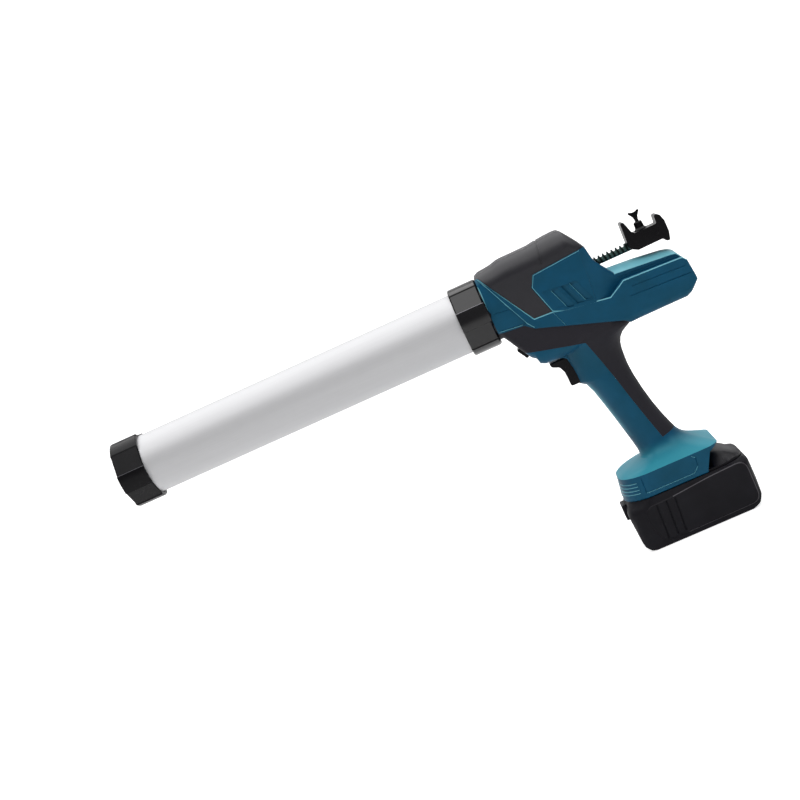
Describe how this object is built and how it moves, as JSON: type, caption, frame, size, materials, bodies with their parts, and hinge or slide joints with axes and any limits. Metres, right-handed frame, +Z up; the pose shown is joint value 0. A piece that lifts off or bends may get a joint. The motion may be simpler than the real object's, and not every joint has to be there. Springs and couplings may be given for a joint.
{
  "type": "electric caulking tool",
  "caption": "Pistol-grip cordless caulking tool: long pale tube with lobed caps, toothed push rod, teal body with dark grips, slide-on battery foot",
  "frame": {"origin": "middle of the flat base of the battery", "axes": "+Z up, +X along the tube from the nozzle end to the pull handle, -Y the operator's left, the side in the picture"},
  "size_m": [0.5173, 0.075, 0.2795],
  "materials": {
    "teal_shell": "fine moulded texture",
    "grip_skin": "soft moulded grip",
    "dark_cover": "fine moulded texture",
    "cap_black": "moulded, half gloss",
    "tube_pale": "pale satin anodised",
    "rod_steel": "dark oiled steel",
    "bright_steel": "machined",
    "cast_metal": "die cast",
    "bush_metal": "sintered",
    "pack_black": "moulded",
    "inner_plastic": "moulded",
    "seal_rubber": "moulded",
    "board_green": "lacquered board",
    "lens_clear": "clear moulded lens",
    "cell_wrap": "wrapped cell, mean density of a lithium cell",
    "contact_metal": "plated strip"
  },
  "bodies": {
    "body": {"housing_left": "teal_shell", "housing_right": "teal_shell", "grip_left": "grip_skin", "grip_right": "grip_skin", "top_cover": "dark_cover", "front_mount": "cast_metal", "mount_screws": "bright_steel", "gear_case": "cast_metal", "ring_gear": "bright_steel", "motor_can": "bright_steel", "motor_end_bell": "inner_plastic", "shaft_bushes": "bush_metal", "switch_block": "inner_plastic", "control_board": "board_green", "lamp_holder": "pack_black", "lamp_lens": "lens_clear", "terminal_block": "inner_plastic", "shell_screws": "bright_steel", "trigger_spring": "bright_steel", "rod_guide": "bush_metal"},
    "rotor": {"motor_shaft": "bright_steel", "rotor_core": "bright_steel", "cooling_fan": "inner_plastic", "sun_one": "bright_steel"},
    "carrier_one": {"carrier_one": "bright_steel"},
    "planet_one_a": {"planet_one_a": "bright_steel"},
    "planet_one_b": {"planet_one_b": "bright_steel"},
    "planet_one_c": {"planet_one_c": "bright_steel"},
    "carrier_two": {"carrier_two": "bright_steel"},
    "bevel": {"bevel_pinion": "bright_steel"},
    "clutch": {"clutch_cone": "bright_steel"},
    "idler": {"idler_gear": "bright_steel"},
    "planet_two_a": {"planet_two_a": "bright_steel"},
    "planet_two_b": {"planet_two_b": "bright_steel"},
    "planet_two_c": {"planet_two_c": "bright_steel"},
    "cross": {"cross_shaft": "bright_steel", "bevel_gear": "bright_steel", "spur_pinion": "bright_steel"},
    "pinion": {"pinion_shaft": "bright_steel", "spur_gear": "bright_steel"},
    "rod": {"rod": "rod_steel", "pull_handle": "pack_black", "piston": "inner_plastic", "piston_seal": "seal_rubber", "piston_screw": "bright_steel"},
    "thumb_screw": {"thumb_screw": "rod_steel"},
    "tube": {"tube": "tube_pale"},
    "collar": {"collar": "cap_black"},
    "seat": {"nozzle_seat": "inner_plastic"},
    "cap": {"front_cap": "cap_black"},
    "trigger": {"trigger": "pack_black"},
    "battery": {"battery_lower": "pack_black", "battery_upper": "pack_black", "battery_cells": "cell_wrap", "cell_holder": "inner_plastic", "battery_contacts": "contact_metal", "battery_screws": "bright_steel", "latch_spring": "bright_steel"},
    "latch": {"latch_button": "pack_black"}
  },
  "joints": [
    {"name": "motor_spin", "type": "hinge", "parent": "body", "child": "rotor", "pos_m": [0.035, 0, 0.207], "axis": [1, 0, 0], "continuous": true},
    {"name": "carrier_one_turn", "type": "hinge", "parent": "body", "child": "carrier_one", "pos_m": [-0.002, 0, 0.207], "axis": [1, 0, 0], "continuous": true},
    {"name": "carrier_two_turn", "type": "hinge", "parent": "body", "child": "carrier_two", "pos_m": [-0.013, 0, 0.207], "axis": [1, 0, 0], "continuous": true},
    {"name": "planet_one_a_spin", "type": "hinge", "parent": "carrier_one", "child": "planet_one_a", "pos_m": [0.003, 0, 0.21713], "axis": [1, 0, 0], "continuous": true},
    {"name": "planet_one_b_spin", "type": "hinge", "parent": "carrier_one", "child": "planet_one_b", "pos_m": [0.003, -0.00877, 0.20194], "axis": [1, 0, 0], "continuous": true},
    {"name": "planet_one_c_spin", "type": "hinge", "parent": "carrier_one", "child": "planet_one_c", "pos_m": [0.003, 0.00877, 0.20194], "axis": [1, 0, 0], "continuous": true},
    {"name": "planet_two_a_spin", "type": "hinge", "parent": "carrier_two", "child": "planet_two_a", "pos_m": [-0.0077, 0, 0.21713], "axis": [1, 0, 0], "continuous": true},
    {"name": "planet_two_b_spin", "type": "hinge", "parent": "carrier_two", "child": "planet_two_b", "pos_m": [-0.0077, -0.00877, 0.20194], "axis": [1, 0, 0], "continuous": true},
    {"name": "planet_two_c_spin", "type": "hinge", "parent": "carrier_two", "child": "planet_two_c", "pos_m": [-0.0077, 0.00877, 0.20194], "axis": [1, 0, 0], "continuous": true},
    {"name": "rod_slide", "type": "slide", "parent": "body", "child": "rod", "axis": [1, 0, 0], "range_m": [-0.02356, 0.27489]},
    {"name": "pinion_turn", "type": "hinge", "parent": "body", "child": "pinion", "pos_m": [-0.05, 0, 0.2538], "axis": [0, 1, 0], "range_deg": [-1577, 137]},
    {"name": "idler_turn", "type": "hinge", "parent": "body", "child": "idler", "pos_m": [-0.05722, 0, 0.22778], "axis": [0, 1, 0], "range_deg": [-111, 1262]},
    {"name": "cross_shaft_turn", "type": "hinge", "parent": "body", "child": "cross", "pos_m": [-0.05, 0, 0.207], "axis": [0, 1, 0], "range_deg": [-2702, 234]},
    {"name": "bevel_pinion_turn", "type": "hinge", "parent": "body", "child": "bevel", "pos_m": [-0.035, 0, 0.207], "axis": [1, 0, 0], "range_deg": [-465, 5402]},
    {"name": "clutch_slide", "type": "slide", "parent": "bevel", "child": "clutch", "axis": [1, 0, 0], "range_m": [0, 0.0012], "stiffness_N_per_m": 800, "springref_m": -0.0005},
    {"name": "thumb_screw_turn", "type": "hinge", "parent": "rod", "child": "thumb_screw", "pos_m": [0.052, 0, 0.256], "axis": [0, 0, 1], "continuous": true},
    {"name": "tube_pull_off", "type": "slide", "parent": "body", "child": "tube", "axis": [-1, 0, 0], "range_m": [0, 0.33]},
    {"name": "collar_turn", "type": "hinge", "parent": "tube", "child": "collar", "pos_m": [-0.105, 0, 0.24], "axis": [1, 0, 0], "continuous": true},
    {"name": "front_cap_pull_off", "type": "slide", "parent": "tube", "child": "seat", "axis": [-1, 0, 0], "range_m": [0, 0.06]},
    {"name": "front_cap_turn", "type": "hinge", "parent": "seat", "child": "cap", "pos_m": [-0.427, 0, 0.24], "axis": [1, 0, 0], "continuous": true},
    {"name": "trigger_pull", "type": "slide", "parent": "body", "child": "trigger", "axis": [1, 0, 0], "range_m": [0, 0.006], "stiffness_N_per_m": 400, "springref_m": -0.004, "deforming": ["trigger_spring"]},
    {"name": "battery_slide", "type": "slide", "parent": "body", "child": "battery", "axis": [1, 0, 0], "range_m": [0, 0.095]},
    {"name": "latch_press", "type": "slide", "parent": "battery", "child": "latch", "axis": [0, 0, -1], "range_m": [0, 0.004], "stiffness_N_per_m": 400, "springref_m": -0.002, "deforming": ["latch_spring"]}
  ],
  "couplings": [
    {"joint": "carrier_one_turn", "follows": "motor_spin", "ratio": 0.22222},
    {"joint": "carrier_two_turn", "follows": "motor_spin", "ratio": 0.049383},
    {"joint": "planet_one_a_spin", "follows": "motor_spin", "ratio": -0.62222},
    {"joint": "planet_one_b_spin", "follows": "motor_spin", "ratio": -0.62222},
    {"joint": "planet_one_c_spin", "follows": "motor_spin", "ratio": -0.62222},
    {"joint": "planet_two_a_spin", "follows": "motor_spin", "ratio": -0.13827},
    {"joint": "planet_two_b_spin", "follows": "motor_spin", "ratio": -0.13827},
    {"joint": "planet_two_c_spin", "follows": "motor_spin", "ratio": -0.13827},
    {"joint": "pinion_turn", "follows": "rod_slide", "rad_per_m": -100},
    {"joint": "idler_turn", "follows": "rod_slide", "rad_per_m": 80},
    {"joint": "cross_shaft_turn", "follows": "rod_slide", "rad_per_m": -171.43},
    {"joint": "bevel_pinion_turn", "follows": "rod_slide", "rad_per_m": 342.86}
  ]
}
